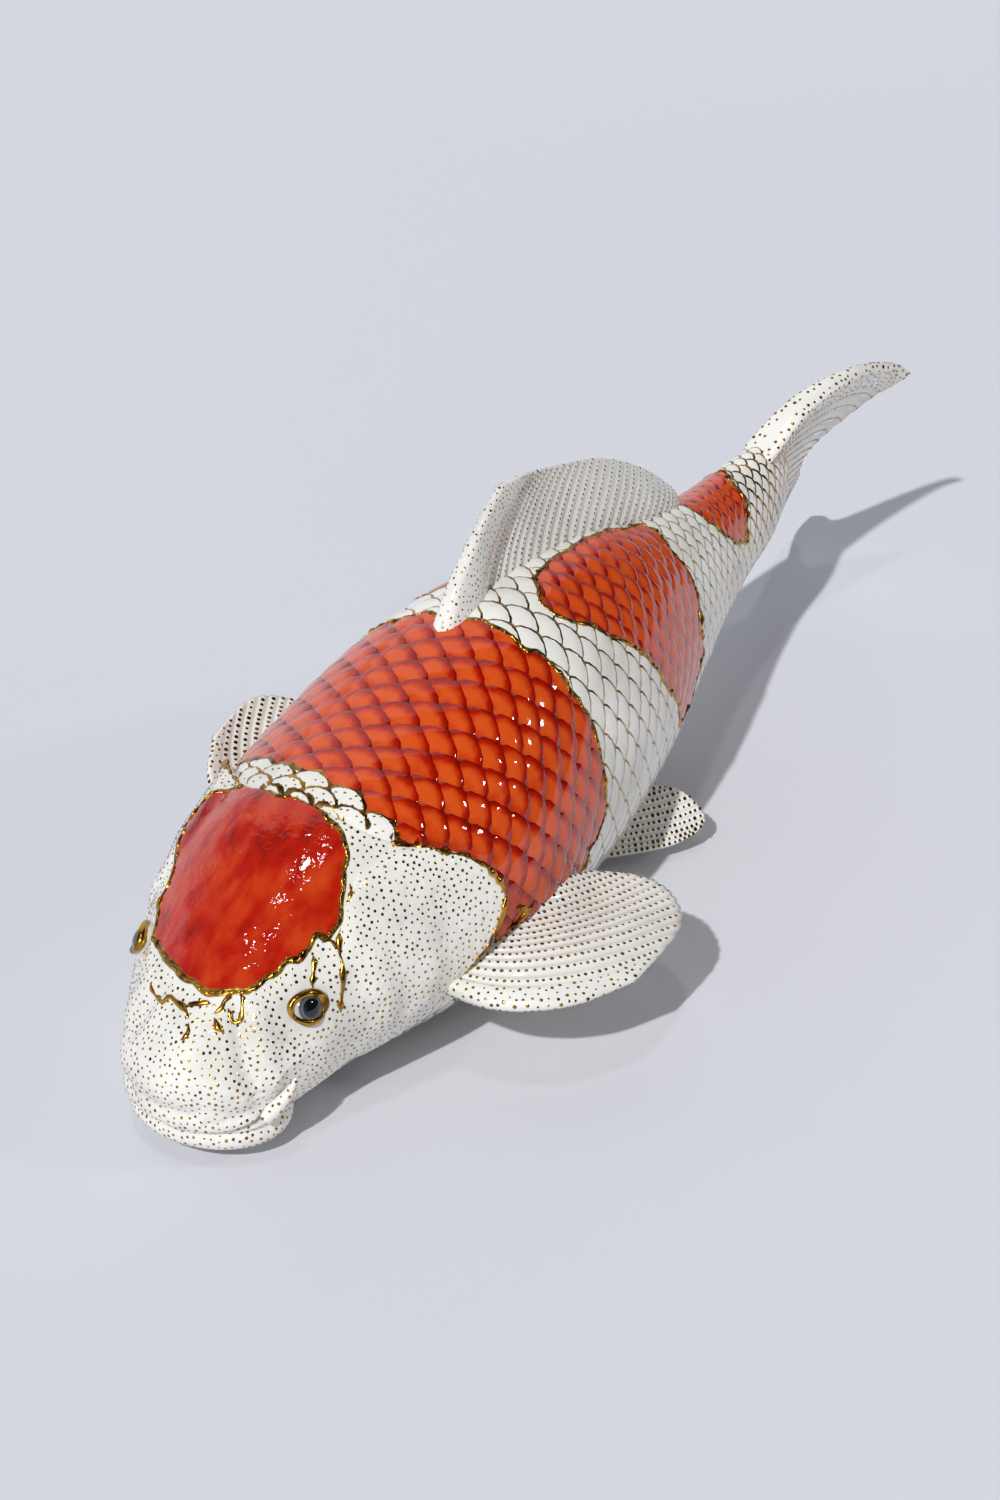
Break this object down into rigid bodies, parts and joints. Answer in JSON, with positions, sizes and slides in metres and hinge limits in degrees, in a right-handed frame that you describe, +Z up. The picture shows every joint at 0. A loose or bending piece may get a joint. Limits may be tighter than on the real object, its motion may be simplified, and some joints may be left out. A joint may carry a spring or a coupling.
{
  "type": "fish figurine",
  "caption": "Large glazed ceramic koi with ribbed fins, raised gill covers and short whiskers, resting on a flat foot under its belly.",
  "frame": {"origin": "middle of the flat foot under the belly, on the plane that the figurine rests on", "axes": "+Z up, +X from head to tail, -Y to the fish's left"},
  "size_m": [0.5718, 0.2264, 0.1835],
  "materials": {
    "white_glaze": "gloss",
    "eye_glaze": "gloss",
    "gold_lustre": "gloss"
  },
  "bodies": {
    "root": {"body_shell": "white_glaze", "gill_cover_left": "white_glaze", "gill_cover_right": "white_glaze", "eye_left": "eye_glaze", "eye_right": "eye_glaze", "eyelid_left": "gold_lustre", "eyelid_right": "gold_lustre", "barbel_left": "white_glaze", "barbel_right": "white_glaze", "pectoral_fin_left": "white_glaze", "pectoral_fin_right": "white_glaze", "pelvic_fin_left": "white_glaze", "pelvic_fin_right": "white_glaze", "dorsal_fin": "white_glaze", "tail_fin": "white_glaze", "anal_fin": "white_glaze"}
  },
  "joints": []
}
